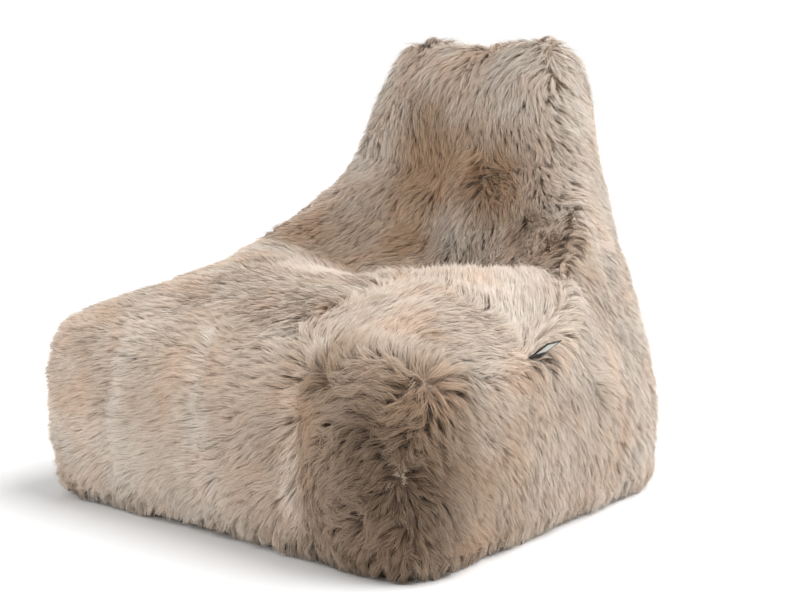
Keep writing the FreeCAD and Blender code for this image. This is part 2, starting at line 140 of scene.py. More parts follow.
def new_mesh(name, points, faces):
    """A smooth-shaded object from points and a list of face arrays, each (count, corners)."""
    mesh = bpy.data.meshes.new(name)
    corners = np.concatenate([group.ravel() for group in faces]).astype(np.int32)
    sizes = np.concatenate([np.full(len(group), group.shape[1]) for group in faces])
    mesh.vertices.add(len(points))
    mesh.vertices.foreach_set("co", np.ascontiguousarray(points, dtype=np.float32).ravel())
    mesh.loops.add(len(corners))
    mesh.loops.foreach_set("vertex_index", corners)
    mesh.polygons.add(len(sizes))
    mesh.polygons.foreach_set("loop_start", (np.cumsum(sizes) - sizes).astype(np.int32))
    mesh.update(calc_edges=True)
    mesh.shade_smooth()
    piece = bpy.data.objects.new(name, mesh)
    SCENE.collection.objects.link(piece)
    return piece


def mesh_arrays(mesh):
    points = np.empty(len(mesh.vertices) * 3)
    mesh.vertices.foreach_get("co", points)
    normals = np.empty(len(mesh.vertices) * 3)
    mesh.vertices.foreach_get("normal", normals)
    return points.reshape(-1, 3), normals.reshape(-1, 3)


def applied(piece):
    """Gives the piece the mesh that its modifiers make, and removes them."""
    graph = bpy.context.evaluated_depsgraph_get()
    mesh = bpy.data.meshes.new_from_object(piece.evaluated_get(graph))
    piece.modifiers.clear()
    piece.data = mesh
    return piece


def finish_piece(piece, body, material, slot, *nodes):
    piece.data.materials.clear()
    piece.data.materials.append(material)
    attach(piece, body)
    if nodes:
        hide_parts(*nodes)
    return piece


# ---- materials ----
def new_material(name, color, roughness, specular=0.4, metallic=0.0):
    material = bpy.data.materials.new(name)
    material.use_nodes = True
    shader = material.node_tree.nodes["Principled BSDF"]
    shader.inputs["Base Color"].default_value = (*color, 1)
    shader.inputs["Roughness"].default_value = roughness
    shader.inputs["Specular IOR Level"].default_value = specular
    shader.inputs["Metallic"].default_value = metallic
    return material, material.node_tree, shader


def add(tree, kind, **values):
    node = tree.nodes.new("ShaderNode" + kind)
    for key, value in values.items():
        if hasattr(node, key):
            setattr(node, key, value)
        else:
            node.inputs[key.replace("_", " ")].default_value = value
    return node


def math_node(tree, operation, first, second):
    node = tree.nodes.new("ShaderNodeMath")
    node.operation = operation
    for socket, value in zip(node.inputs, (first, second)):
        if isinstance(value, (int, float)):
            socket.default_value = value
        else:
            tree.links.new(value, socket)
    return node.outputs[0]


def mix_colors(tree, factor, first, second, kind="MIX"):
    node = tree.nodes.new("ShaderNodeMix")
    node.data_type = "RGBA"
    node.blend_type = kind
    for socket, value in ((node.inputs[0], factor), (node.inputs[6], first), (node.inputs[7], second)):
        if isinstance(value, tuple):
            socket.default_value = (*value, 1)
        elif isinstance(value, (int, float)):
            socket.default_value = value
        else:
            tree.links.new(value, socket)
    return node.outputs[2]


def ramp(tree, source, stops):
    node = tree.nodes.new("ShaderNodeValToRGB")
    while len(node.color_ramp.elements) < len(stops):
        node.color_ramp.elements.new(0.5)
    for element, (place, color) in zip(node.color_ramp.elements, stops):
        element.position = place
        element.color = (*color, 1)
    tree.links.new(source, node.inputs[0])
    return node.outputs[0]


def bump(tree, shader, height, strength, distance):
    node = add(tree, "Bump", Strength=strength, Distance=distance)
    tree.links.new(height, node.inputs["Height"])
    tree.links.new(node.outputs[0], shader.inputs["Normal"])


def noise(tree, scale, detail=3.0, rough=0.5):
    node = add(tree, "TexNoise", Scale=scale, Detail=detail, Roughness=rough)
    place = tree.nodes.new("ShaderNodeTexCoord")
    tree.links.new(place.outputs["Object"], node.inputs["Vector"])
    return node.outputs[0]


def wool_material():
    """Wool that is dark at the root and pale at the tip, partly its own two tones and partly painted shade
    deep in the pile, with patches of tone over the skins.
    """
    material, tree, shader = new_material("long_wool", (0.6, 0.47, 0.36), 0.62, 0.25)
    shader.inputs["Sheen Weight"].default_value = 0.25
    shader.inputs["Sheen Roughness"].default_value = 0.45
    shader.inputs["Sheen Tint"].default_value = (1.0, 0.93, 0.86, 1)
    wool = tree.nodes.new("ShaderNodeAttribute")
    wool.attribute_name = "wool"
    parts = tree.nodes.new("ShaderNodeSeparateColor")
    tree.links.new(wool.outputs["Color"], parts.inputs[0])
    share, single, brownness = parts.outputs
    # Darker towards the root: partly the wool's own tone, partly painted shade deep in the pile.
    pale = ramp(tree, share, ((0.0, (0.54, 0.43, 0.34)), (0.35, (0.70, 0.59, 0.49)),
                              (0.7, (0.80, 0.70, 0.60)), (1.0, (0.88, 0.79, 0.70))))
    brown = ramp(tree, share, ((0.0, (0.31, 0.18, 0.10)), (0.35, (0.46, 0.29, 0.17)),
                               (0.7, (0.60, 0.40, 0.25)), (1.0, (0.72, 0.52, 0.36))))
    # The dark mix: darker wool, and painted shade at the partings and at the front corner on the +x side.
    dark = ramp(tree, share, ((0.0, (0.07, 0.04, 0.022)), (0.35, (0.13, 0.08, 0.05)),
                              (0.7, (0.21, 0.14, 0.09)), (1.0, (0.36, 0.26, 0.18))))
    color = mix_colors(tree, brownness, pale, brown)
    color = mix_colors(tree, wool.outputs["Alpha"], color, dark)
    warm = ramp(tree, noise(tree, 9.0, 2.0), ((0.36, (1.04, 0.97, 0.93)), (0.5, (1, 1, 1)),
                                              (0.66, (0.96, 0.98, 1.0))))
    color = mix_colors(tree, 0.8, color, warm, "MULTIPLY")
    light = ramp(tree, single, ((0.0, (0.86, 0.85, 0.84)), (1.0, (1.06, 1.06, 1.06))))
    color = mix_colors(tree, 1.0, color, light, "MULTIPLY")
    tree.links.new(color, shader.inputs["Base Color"])
    return material


def hide_material():
    """The skin under the wool, with a speckle like short underwool, in browns that are painted shade: the
    colour of deep shaded wool, for the gaps between strands.
    """
    material, tree, shader = new_material("hide", (0.2, 0.13, 0.09), 0.85, 0.15)
    speckle = noise(tree, 420.0, 2.0)
    patches = noise(tree, 14.0, 3.0)
    # Painted shade: browns of deep shaded wool, for the gaps between strands.
    color = ramp(tree, speckle, ((0.35, (0.30, 0.21, 0.15)), (0.65, (0.54, 0.43, 0.33))))
    color = mix_colors(tree, patches, color, (0.42, 0.32, 0.24))
    tree.links.new(color, shader.inputs["Base Color"])
    bump(tree, shader, speckle, 0.6, 0.001)
    return material


def woven_material(name, color, thread, roughness=0.85, sheen=0.15):
    """Plain weave of this colour, with threads this far apart and slight wear; its hollows carry painted
    shade and its crowns painted highlight.
    """
    material, tree, shader = new_material(name, color, roughness, 0.25)
    shader.inputs["Sheen Weight"].default_value = sheen
    shader.inputs["Sheen Roughness"].default_value = 0.5
    place = tree.nodes.new("ShaderNodeTexCoord")
    bands = []
    for axis in ("X", "Y", "Z"):
        wave = add(tree, "TexWave", Scale=1 / (thread * 3.2), Distortion=0.6)
        wave.inputs["Detail"].default_value = 1.0
        wave.bands_direction = axis
        tree.links.new(place.outputs["Object"], wave.inputs["Vector"])
        bands.append(wave.outputs["Fac"])
    height = math_node(tree, "MULTIPLY", math_node(tree, "ADD", bands[0], bands[1]), bands[2])
    worn = noise(tree, 38.0, 4.0)
    # Painted shade in the weave's hollows and painted highlight on its crowns, by the weave's height.
    dark = tuple(value * 0.62 for value in color)
    pale = tuple(min(1.0, value * 1.28) for value in color)
    shade = mix_colors(tree, height, dark, pale)
    shade = mix_colors(tree, worn, shade, color)
    tree.links.new(shade, shader.inputs["Base Color"])
    bump(tree, shader, height, 0.7, thread * 0.4)
    return material


def plastic_material(name, color, roughness):
    material, tree, shader = new_material(name, color, roughness, 0.5)
    grain = noise(tree, 260.0, 2.0)
    shade = mix_colors(tree, grain, tuple(value * 0.85 for value in color), color)
    tree.links.new(shade, shader.inputs["Base Color"])
    bump(tree, shader, grain, 0.15, 0.0003)
    return material


def bead_material():
    material, tree, shader = new_material("foam_beads", (0.93, 0.93, 0.92), 0.7, 0.4)
    cells = add(tree, "TexVoronoi", Scale=260.0)
    place = tree.nodes.new("ShaderNodeTexCoord")
    tree.links.new(place.outputs["Object"], cells.inputs["Vector"])
    # Painted shade: each cell is pale at its middle and darker towards its edge, as between round beads.
    shade = ramp(tree, cells.outputs["Distance"], ((0.0, (0.96, 0.96, 0.95)), (0.6, (0.62, 0.62, 0.61))))
    tree.links.new(shade, shader.inputs["Base Color"])
    rounded = math_node(tree, "SUBTRACT", 1.0, cells.outputs["Distance"])
    bump(tree, shader, rounded, 0.9, 0.002)
    return material


def metal_material():
    material, tree, shader = new_material("nickel", (0.5, 0.48, 0.45), 0.34, 0.5, 1.0)
    scratches = add(tree, "TexNoise", Scale=900.0, Detail=3.0)
    stretch = add(tree, "Mapping")
    stretch.inputs["Scale"].default_value = (0.08, 1, 1)
    place = tree.nodes.new("ShaderNodeTexCoord")
    tree.links.new(place.outputs["Object"], stretch.inputs["Vector"])
    tree.links.new(stretch.outputs[0], scratches.inputs["Vector"])
    shade = ramp(tree, scratches.outputs[0], ((0.3, (0.40, 0.38, 0.35)), (0.7, (0.58, 0.56, 0.52))))
    tree.links.new(shade, shader.inputs["Base Color"])
    rough = math_node(tree, "MULTIPLY_ADD", scratches.outputs[0], 0.3)
    tree.links.new(rough, shader.inputs["Roughness"])
    bump(tree, shader, scratches.outputs[0], 0.2, 0.0002)
    return material


WOOL = wool_material()
HIDE = hide_material()
BASE_CLOTH = woven_material("base_cloth", (0.052, 0.038, 0.030), 0.0012)
COTTON = woven_material("cotton", (0.80, 0.76, 0.68), 0.0008)
LABEL_TAPE = woven_material("label_tape", (0.022, 0.026, 0.026), 0.0006, 0.75)
LABEL_THREAD = woven_material("label_thread", (0.72, 0.73, 0.70), 0.0006, 0.7)
ZIP_TAPE = woven_material("zip_tape", (0.07, 0.053, 0.043), 0.0007)
INNER_TAPE = woven_material("inner_zip_tape", (0.78, 0.74, 0.66), 0.0007)
COIL = plastic_material("nylon_coil", (0.085, 0.065, 0.052), 0.42)
INNER_COIL = plastic_material("pale_nylon_coil", (0.82, 0.80, 0.74), 0.45)
BEADS = bead_material()
METAL = metal_material()


# ---- camera, floor and light ----
AMBIENT = 0.5             # light from all round, as a share of the white background


def camera():
    aim = Vector((0, -0.0293, 0.3828))
    turn, lift = math.radians(39.5), math.radians(8.3)
    back = Vector((math.sin(turn) * math.cos(lift), -math.cos(turn) * math.cos(lift), math.sin(lift)))
    data = bpy.data.cameras.new("camera")
    data.sensor_width = 36
    data.lens = 64.26
    data.shift_x = 0.050
    piece = bpy.data.objects.new("camera", data)
    piece.location = aim + back * 2.871
    piece.rotation_euler = back.to_track_quat("Z", "Y").to_euler()
    SCENE.collection.objects.link(piece)
    SCENE.camera = piece


def soft_sun(name, towards, strength, spread):
    """Even light from one side, as soft as a lamp that is this many degrees across."""
    data = bpy.data.lights.new(name, "SUN")
    data.angle = math.radians(spread)
    data.energy = strength
    piece = bpy.data.objects.new(name, data)
    piece.rotation_euler = Vector(towards).to_track_quat("Z", "Y").to_euler()
    SCENE.collection.objects.link(piece)


def studio():
    world = bpy.data.worlds.new("studio")
    world.use_nodes = True
    tree = world.node_tree
    back = tree.nodes["Background"]
    back.inputs["Color"].default_value = (1, 1, 1, 1)
    path = tree.nodes.new("ShaderNodeLightPath")
    strength = math_node(tree, "MULTIPLY_ADD", path.outputs["Is Camera Ray"], 1 - AMBIENT)
    strength.node.inputs[2].default_value = AMBIENT
    tree.links.new(strength, back.inputs["Strength"])
    SCENE.world = world
    SCENE.view_settings.view_transform = "Standard"
    soft_sun("key", (0.50, 0.30, 0.80), 3.0, 50)
    soft_sun("front_left", (-0.45, -0.65, 0.60), 1.1, 55)
    material, tree, shader = new_material("floor", (0.93, 0.93, 0.93), 0.9, 0.1)
    dust = noise(tree, 3.0, 2.0)
    shade = mix_colors(tree, dust, (0.925, 0.925, 0.925), (0.94, 0.94, 0.94))
    tree.links.new(shade, shader.inputs["Base Color"])
    reach = 40.0
    corners = np.array([[-reach, -reach, 0], [reach, -reach, 0], [reach, reach, 0], [-reach, reach, 0]])
    floor = new_mesh("floor", corners, [np.array([[0, 1, 2, 3]])])
    floor.data.materials.append(material)


# ---- the hide ----
PELT_TREE, PELT_OWNERS = tree_of(PELTS)


def clearances(points, normals):
    """How far the wool's silhouette is from each point, along its normal.

    A ray can slip out between two pelts, so four more are cast beside it and the furthest counts.
    """
    reach, aside, hop = 0.062, 0.003, 0.0002
    least, plenty = 0.004, 0.024
    found = np.full(len(points), least)
    for k, (point, normal) in enumerate(zip(points.tolist(), normals.tolist())):
        way = Vector(normal)
        across = way.orthogonal().normalized() * aside
        along = way.cross(across)
        for shift in (Vector(), across, along, -across, -along):
            start, gone = Vector(point) + shift, 0.0
            while gone < reach:
                place, _, _, distance = PELT_TREE.ray_cast(start, way, reach - gone)
                if place is None:
                    break
                gone += distance + hop
                start = place + way * hop
            found[k] = max(found[k], gone)
            if shift.length == 0 and gone > plenty:
                break
    return found


def hide_form():
    """The hide of the whole cover: the bead fill's form, swollen towards the silhouette."""
    piece = bpy.data.objects.new("hide_form", NODES["bead_fill"].data.copy())
    SCENE.collection.objects.link(piece)
    remesh = piece.modifiers.new("remesh", "REMESH")
    remesh.mode = "VOXEL"
    remesh.voxel_size = HIDE_VOXEL
    applied(piece)
    points, normals = mesh_arrays(piece.data)
    normals = unit(np.where(points[:, 2:] < 0.04, normals * (1, 1, 0.15), normals))
    free = clearances(points, normals)
    depth = HIDE_DEPTH - (HIDE_DEPTH - HIDE_HEM_DEPTH) * smooth_step(points[:, 2], 0.08, HEM_Z)
    depth = np.minimum(depth, free * (0.26 + 0.46 * np.minimum(free / 0.036, 1)))
    side = normals[:, 2] > -0.5
    points += normals * ((free - depth) * side)[:, None]
    piece.data.vertices.foreach_set("co", points.ravel())
    piece.data.update()
    return piece


def faces_of(mesh):
    """The corners of a mesh that is all quads."""
    corners = np.empty(len(mesh.polygons) * 4, dtype=np.int32)
    mesh.loops.foreach_get("vertex_index", corners)
    return corners.reshape(-1, 4)


def pelt_of_faces(points, faces):
    """Which pelt each face of the hide belongs to."""
    middles = points[faces].mean(axis=1)
    owners = [PELT_OWNERS[PELT_TREE.find_nearest(middle)[2]] for middle in middles.tolist()]
    return np.array(owners)


def seam_distances(points, faces, owners):
    """How far each point is from the nearest seam between two pelts, or the hem."""
    owner_low = np.full(len(points), len(PELTS))
    owner_high = np.full(len(points), -1)
    for corner in range(4):
        np.minimum.at(owner_low, faces[:, corner], owners)
        np.maximum.at(owner_high, faces[:, corner], owners)
    seam = np.flatnonzero((owner_low != owner_high) | (np.abs(points[:, 2] - HEM_Z) < 0.006))
    tree = KDTree(len(seam))
    for number, place in zip(seam.tolist(), points[seam].tolist()):
        tree.insert(place, number)
    tree.balance()
    return np.array([tree.find(place)[2] for place in points.tolist()])


def puff(piece, held):
    """Lets the cover swell under the pressure of the beads, where its points aren't held."""
    before, _ = mesh_arrays(piece.data)
    group = piece.vertex_groups.new(name="seams")
    for share in HELD_SHARES:
        chosen = np.flatnonzero(np.abs(held - share) < 0.01)
        group.add(chosen.tolist(), share, "REPLACE")
    cloth = piece.modifiers.new("cloth", "CLOTH")
    cloth.settings.quality = 4
    cloth.settings.mass = 0.5
    cloth.settings.tension_stiffness = 30
    cloth.settings.compression_stiffness = 12
    cloth.settings.shear_stiffness = 8
    cloth.settings.bending_stiffness = 1.5
    cloth.settings.use_pressure = True
    cloth.settings.uniform_pressure_force = 4
    cloth.settings.vertex_group_mass = "seams"
    cloth.settings.effector_weights.gravity = 0
    cloth.collision_settings.use_collision = False
    cloth.point_cache.frame_start = 1
    cloth.point_cache.frame_end = PUFF_FRAMES
    for moment in range(1, PUFF_FRAMES + 1):
        SCENE.frame_set(moment)
    applied(piece)
    SCENE.frame_set(1)
    after, _ = mesh_arrays(piece.data)
    moved = after - before
    length = np.linalg.norm(moved, axis=1, keepdims=True)
    moved *= np.minimum(1, PUFF_LIMIT / np.maximum(length, 1e-9))
    piece.data.vertices.foreach_set("co", (before + moved).ravel())
    piece.data.update()


def cover_hide():
    """The finished hide's points, normals and faces, each face's pelt, and distances to a seam."""
    piece = hide_form()
    points, normals = mesh_arrays(piece.data)
    faces = faces_of(piece.data)
    owners = pelt_of_faces(points, faces)
    away = seam_distances(points, faces, owners)
    thickness = np.clip(clearances(points, normals) / HIDE_DEPTH, 0, 1) ** 2
    pull = SEAM_PULL * np.exp(-(away / SEAM_REACH) ** 2) * thickness * (points[:, 2] > HEM_ZONE)
    points -= normals * pull[:, None]
    piece.data.vertices.foreach_set("co", points.ravel())
    piece.data.update()
    firm, middling, slack = (away < distance for distance in HELD_WITHIN)
    held = np.select([firm | (points[:, 2] < HEM_ZONE), middling, slack], HELD_SHARES, 0.0)
    puff(piece, held)
    points, normals = mesh_arrays(piece.data)
    bpy.data.objects.remove(piece)
    return points, normals, faces, owners, away


def hide_piece(name, points, faces):
    """One pelt's hide, with its seam allowance turned in."""
    used, corners = np.unique(faces, return_inverse=True)
    piece = new_mesh(name + "_hide", points[used], [corners.reshape(-1, 4)])
    hem = piece.modifiers.new("seam_allowance", "SOLIDIFY")
    hem.thickness = 0.006
    hem.offset = -1
    hem.use_rim_only = True
    return applied(piece)


# ---- the wool ----
# Each style: the way the wool lies, how long it is, how strongly it gathers into locks, how much the
# locks curl and stray, how high it stands, and how brown it is.
DOWN = np.array((0.0, 0.0, -1.0))


def style(flow, length=1.0, gather=0.45, curl=0.0, stray=0.45, lift=1.0, brown=0.12):
    return (*flow, length, gather, curl, stray, lift, brown)


STYLES = {
    "front_pelt_1": style((-1, 0.0, -0.35), gather=0.15, stray=0.35, brown=0.05),
    "front_pelt_2": style((-1, 0.0, -0.30), gather=0.2, stray=0.45, brown=0.1),
    "front_pelt_3": style((-1, 0.0, -0.35), gather=0.3, curl=0.1, stray=0.6, brown=0.15),
    "front_pelt_4": style((-0.5, 0.0, -0.8), gather=0.45, curl=0.7, stray=1.0, brown=0.25),
    "seat_front_pelt_right": style((-1, -0.5, 0), gather=0.2, stray=0.5),
    "seat_front_pelt_middle": style((-0.6, -0.8, 0), gather=0.25, stray=0.6),
    "seat_front_pelt_left": style((0.4, 0.85, -0.1), gather=0.2, stray=0.5, brown=0.0),
    "seat_hollow_pelt_right": style((-0.9, -0.3, 0), gather=0.2, stray=0.5, lift=1.15, brown=0.0),
    "seat_hollow_pelt_middle": style((-0.9, 0.1, 0), gather=0.2, stray=0.5, lift=1.1, brown=0.0),
    "seat_hollow_pelt_left": style((-0.6, 0.6, 0), gather=0.2, stray=0.5, lift=1.2, brown=0.0),
    "backrest_pelt_lower_right": style((-0.7, 0, -1), gather=0.35, stray=0.5, brown=0.35),
    "backrest_pelt_lower_left": style((0.5, 0, -1), gather=0.4, curl=0.2, stray=0.8, brown=0.25),
    "backrest_pelt_upper": style((0, -0.3, -1), length=1.15, gather=0.3, stray=0.5, brown=0.1),
    "back_pelt_upper": style((0, 0.3, -1), gather=0.2),
    "back_pelt_middle_right": style((-0.3, 0, -1), gather=0.2),
    "back_pelt_middle_left": style((0.3, 0, -1), gather=0.2),
    "back_pelt_lower_right": style((-0.3, 0, -1), gather=0.25),
    "back_pelt_lower_left": style((0.3, 0, -1), gather=0.25),
    "side_pelt_front_left": style((0, 0.7, -1), gather=0.35, curl=0.2, stray=0.7, brown=0.05),
    "side_pelt_middle_left": style((0, 0.35, -1), gather=0.35, stray=0.65, brown=0.0),
    "side_pelt_rear_left": style((0, 0.2, -1), gather=0.2, stray=0.4, brown=0.0),
    "side_pelt_front_right": style((0, 0.7, -1), gather=0.3),
    "side_pelt_middle_right": style((0, 0.35, -1), gather=0.3),
    "side_pelt_rear_right": style((0, 0.2, -1), gather=0.2),
    "wing_pelt_left": style((0.2, 0.6, -0.9), gather=0.12, stray=0.4, brown=0.05),
    "wing_pelt_right": style((-0.2, 0.5, -0.9), gather=0.12, stray=0.4, brown=0.0),
}

# Places where the wool parts and lies away on all sides: centre, reach, strength.
PARTINGS = (
    ((0.38, -0.49, 0.25), 0.07, 1.0),
    ((0.43, -0.46, 0.18), 0.05, 0.8),
    ((0.25, -0.47, 0.34), 0.05, 1.8),
    ((-0.01, -0.49, 0.09), 0.04, 1.6),
    ((0.48, 0.08, 0.24), 0.05, 1.8),
    ((0.48, -0.08, 0.31), 0.04, 1.4),
    ((0.10, 0.22, 0.61), 0.08, 2.2),
    ((-0.04, 0.21, 0.58), 0.05, 1.6),
    ((0.22, 0.20, 0.53), 0.05, 1.8),
)
# Patches of tone: centre, reach, browner, darker. The first two, at the front corner on the +x side and at
# its foot, are darker partly as painted shade.
PATCHES = (
    ((0.44, -0.45, 0.20), 0.19, 0.50, 0.80),
    ((0.38, -0.46, 0.04), 0.15, 0.25, 0.50),
    ((0.07, 0.23, 0.66), 0.10, 0.90, 0.15),
    ((-0.05, 0.23, 0.68), 0.11, 0.90, 0.12),
    ((-0.05, 0.20, 0.49), 0.05, 0.80, 0.25),
    ((-0.20, 0.26, 0.66), 0.07, -0.50, 0.0),
    ((0.0, 0.12, 0.43), 0.15, 0.0, -0.2),
    ((0.21, 0.19, 0.53), 0.05, 0.45, 0.15),
    ((0.13, 0.27, 0.78), 0.08, -0.40, 0.0),
    ((0.03, 0.21, 0.53), 0.04, -0.60, -0.3),
    ((0.26, -0.45, 0.36), 0.05, 0.50, 0.15),
    ((0.14, -0.47, 0.20), 0.11, 0.15, 0.22),
)
# Tufts that stand higher than the wool round them: centre, reach, how much higher.
TUFTS = (
    ((-0.15, 0.40, 0.90), 0.055, 0.55),
    ((-0.46, -0.41, 0.30), 0.080, 0.45),
    ((-0.46, -0.42, 0.04), 0.080, 0.45),
    ((-0.37, 0.08, 0.46), 0.110, 0.35),
    ((-0.24, 0.33, 0.78), 0.080, 0.25),
    ((0.20, 0.42, 0.90), 0.050, 0.35),
    ((0.26, -0.07, 0.46), 0.120, 0.15),
    ((0.08, 0.24, 0.66), 0.060, 0.35),
    ((0.46, -0.43, 0.12), 0.080, 0.25),
)
FRONT_RIDGES = (-0.20, 0.02, 0.23)    # upright bands of raised wool on the front, made paler as a painted highlight


def cover_styles(point_count, faces, owners, away):
    """The wool's style at each face of the hide, changing softly from pelt to pelt."""
    values = np.array([STYLES[name] for name in PELTS])[owners]
    corners = faces.ravel()
    counts = np.bincount(corners, minlength=point_count)
    for _ in range(22):
        spread = [np.bincount(corners, np.repeat(column, 4), point_count) / counts for column in values.T]
        values = np.stack(spread, axis=1)[faces].mean(axis=1)
    tangle = np.exp(-(away[faces].mean(axis=1) / SEAM_REACH) ** 2)
    return np.column_stack([values, tangle])


def flow_at(points, normals, ways):
    """The way the wool lies at each point, along the hide."""
    stray = ways[:, 6:7]
    flow = ways[:, :3] + vector_field(points, 0.10, 5) * stray
    flow = flow + vector_field(points, 0.032, 9) * stray * 0.8
    flow = flow + DOWN * (smooth_step(points[:, 2], 0.13, 0.03) * 1.4)[:, None]
    for centre, reach, strength in PARTINGS:
        away = points - np.array(centre)
        near = np.exp(-(np.linalg.norm(away, axis=1) / reach) ** 2)
        flow = flow + unit(away) * (near * strength)[:, None]
    flow -= normals * np.sum(flow * normals, axis=1, keepdims=True)
    return unit(flow)


def near_partings(points):
    """How near each point is to a parting, from 0 to 1."""
    total = np.zeros(len(points))
    for centre, reach, _ in PARTINGS:
        total += np.exp(-(np.linalg.norm(points - np.array(centre), axis=1) / (reach * 0.6)) ** 2)
    return np.minimum(total, 1)


def tufts(points):
    """How much higher the wool stands at each point."""
    return sum(more * np.exp(-(np.linalg.norm(points - np.array(centre), axis=1) / reach) ** 2)
               for centre, reach, more in TUFTS)


def front_ridges(points):
    """How much of a raised band each point is on."""
    bands = sum(np.exp(-((points[:, 0] - x + 0.03 * field(points, 0.15, 51)) / 0.016) ** 2)
                for x in FRONT_RIDGES)
    return bands * (points[:, 1] < -0.42) * smooth_step(points[:, 2], 0.06, 0.12)


def tones(points, brown):
    """How brown and how dark the wool is at each point; the darkness is partly painted shade, at the
    partings and at the front corner on the +x side, and the raised front bands are made paler as a painted
    highlight.
    """
    browner = brown + 0.08 + 0.36 * field(points, 0.11, 31) + 0.16 * field(points, 0.035, 33)
    # Painted shade where the wool parts.
    darker = 0.10 * field(points, 0.07, 35) + 0.35 * near_partings(points)
    for centre, reach, more_brown, more_dark in PATCHES:
        near = np.exp(-(np.linalg.norm(points - np.array(centre), axis=1) / reach) ** 2)
        browner = browner + near * more_brown
        darker = darker + near * more_dark
    # Painted highlight: the raised front bands are made paler and less brown.
    ridges = front_ridges(points)
    return np.clip(browner - 0.5 * ridges, 0, 1), np.clip(darker - 0.3 * ridges, 0, 1)


def doubled_areas(triangles, points):
    a, b, c = (points[triangles[:, k]] for k in range(3))
    return np.linalg.norm(np.cross(b - a, c - a), axis=1)


def scatter(triangles, count, points):
    """Random places on the triangles, evenly over their area: which triangle, and corner weights."""
    area = doubled_areas(triangles, points)
    chosen = RANDOM.choice(len(triangles), count, p=area / area.sum())
    u, v = RANDOM.random((2, count))
    over = u + v > 1
    u, v = np.where(over, 1 - u, u), np.where(over, 1 - v, v)
    return chosen, np.stack([1 - u - v, u, v], axis=1)


def at_spots(values, triangles, chosen, weights):
    """The points' values, blended at places that scatter() has chosen."""
    corners = values[triangles[chosen]]
    return np.einsum("nk,nk...->n...", weights, corners)


def lock_guides(tree, roots, facing, ways, lengths, styles):
    """Each lock's path along the hide from its root, and the hide's normal at each step."""
    spots, normals = [roots], [facing]
    shares = SHARES[1:] ** 1.25
    steps = np.diff(np.concatenate([[0], shares]))
    way = flow_at(roots, facing, ways)
    for step in steps:
        ahead = spots[-1] + way * (lengths * step * 0.9)[:, None]
        found = [tree.find_nearest(place) for place in ahead.tolist()]
        spots.append(np.array([place for place, _, _, _ in found]))
        normals.append(unit(np.array([normal for _, normal, _, _ in found])))
        turned = flow_at(spots[-1], normals[-1], styles[[face for _, _, face, _ in found]])
        way = unit(way * 0.55 + turned * 0.45)
        way = unit(way - normals[-1] * np.sum(way * normals[-1], axis=1, keepdims=True))
    return np.stack(spots, axis=1), np.stack(normals, axis=1)


def floor_of_wool(places):
    """The lowest that wool hangs at each place: over the base's rim, but clear of the zip."""
    ragged = field(places * (1, 1, 0), 0.03, 21)
    lowest = 0.005 + 0.004 * ragged
    at_zip = (places[..., 1] > 0.33) & (np.abs(places[..., 0]) < ZIP_HALF + 0.01)
    return np.maximum(np.where(at_zip, 0.0215, lowest), 0.002)


# The label leaves its seam at this slope. Its notch in the wool is round the CAD joint's own place.
LABEL_TILT = math.radians(38)
LABEL_JOINT = next(joint for joint in frame["record"]["behaviour"]["joints"]
                   if joint["name"] == "label_tab_bend")
LABEL_ROOT = np.array(LABEL_JOINT["pos_m"])
LABEL_OUT = np.array((math.cos(LABEL_TILT), 0, math.sin(LABEL_TILT)))
LABEL_UP = np.array((-math.sin(LABEL_TILT), 0, math.cos(LABEL_TILT)))


def part_at_label(paths):
    """Moves the wool to both sides of the label's notch."""
    local = paths - LABEL_ROOT
    out, up, across = local @ LABEL_OUT, local @ LABEL_UP, np.abs(local[..., 1])
    half = 0.0045 + np.clip(out, 0, None) * 0.40
    side = np.where(up[:, :1] >= 0, 1.0, -1.0)
    near = smooth_step(across, 0.036, 0.025) * smooth_step(out, -0.004, 0.004)
    short = np.maximum(half - up * side, 0) * near * (out < 0.07)
    return paths + LABEL_UP * (short * side)[..., None]


def grow_locks(area, points, normals, triangles, face_numbers, styles, tree):
    """One pelt's locks: where each is rooted, its path and facing, its rise and its style."""
    count = int(area / LOCK_SIZE ** 2)
    spot = scatter(triangles, count, points)
    roots = at_spots(points, triangles, *spot)
    facing = unit(at_spots(normals, triangles, *spot))
    ways = styles[face_numbers[spot[0]]]
    length, gather, curl, stray, lift, brown, tangle = ways[:, 3:].T
    parted = near_partings(roots)
    unruly = 0.05 + 0.12 * tangle + 0.35 * curl + 0.1 * gather
    ways[:, :3] += RANDOM.normal(0, 1, (count, 3)) * unruly[:, None]
    lengths = WOOL_LENGTH * length * RANDOM.uniform(0.72, 1.12, count) * (1 - 0.2 * parted)
    spots, facings = lock_guides(tree, roots, facing, ways, lengths, styles)
    lumps = 0.20 * field(roots, 0.05, 13) + 0.16 * field(roots, 0.10, 17)
    rises = lift * (1 + lumps + tufts(roots)) * RANDOM.uniform(0.86, 1.05, count)
    rises = rises * (1 - 0.15 * tangle) * (1 - 0.35 * parted) * (1 + 0.28 * front_ridges(roots))
    rises = rises * (1 + 0.4 * smooth_step(roots[:, 2], 0.11, 0.03))
    return SimpleNamespace(count=count, roots=roots, spots=spots, facings=facings, rises=rises,
                           gather=gather, curl=curl, stray=stray, brown=brown)


def nearest_locks(locks, roots):
    nearest = KDTree(locks.count)
    for number, place in enumerate(locks.roots.tolist()):
        nearest.insert(place, number)
    nearest.balance()
    return np.array([nearest.find(place)[1] for place in roots.tolist()])


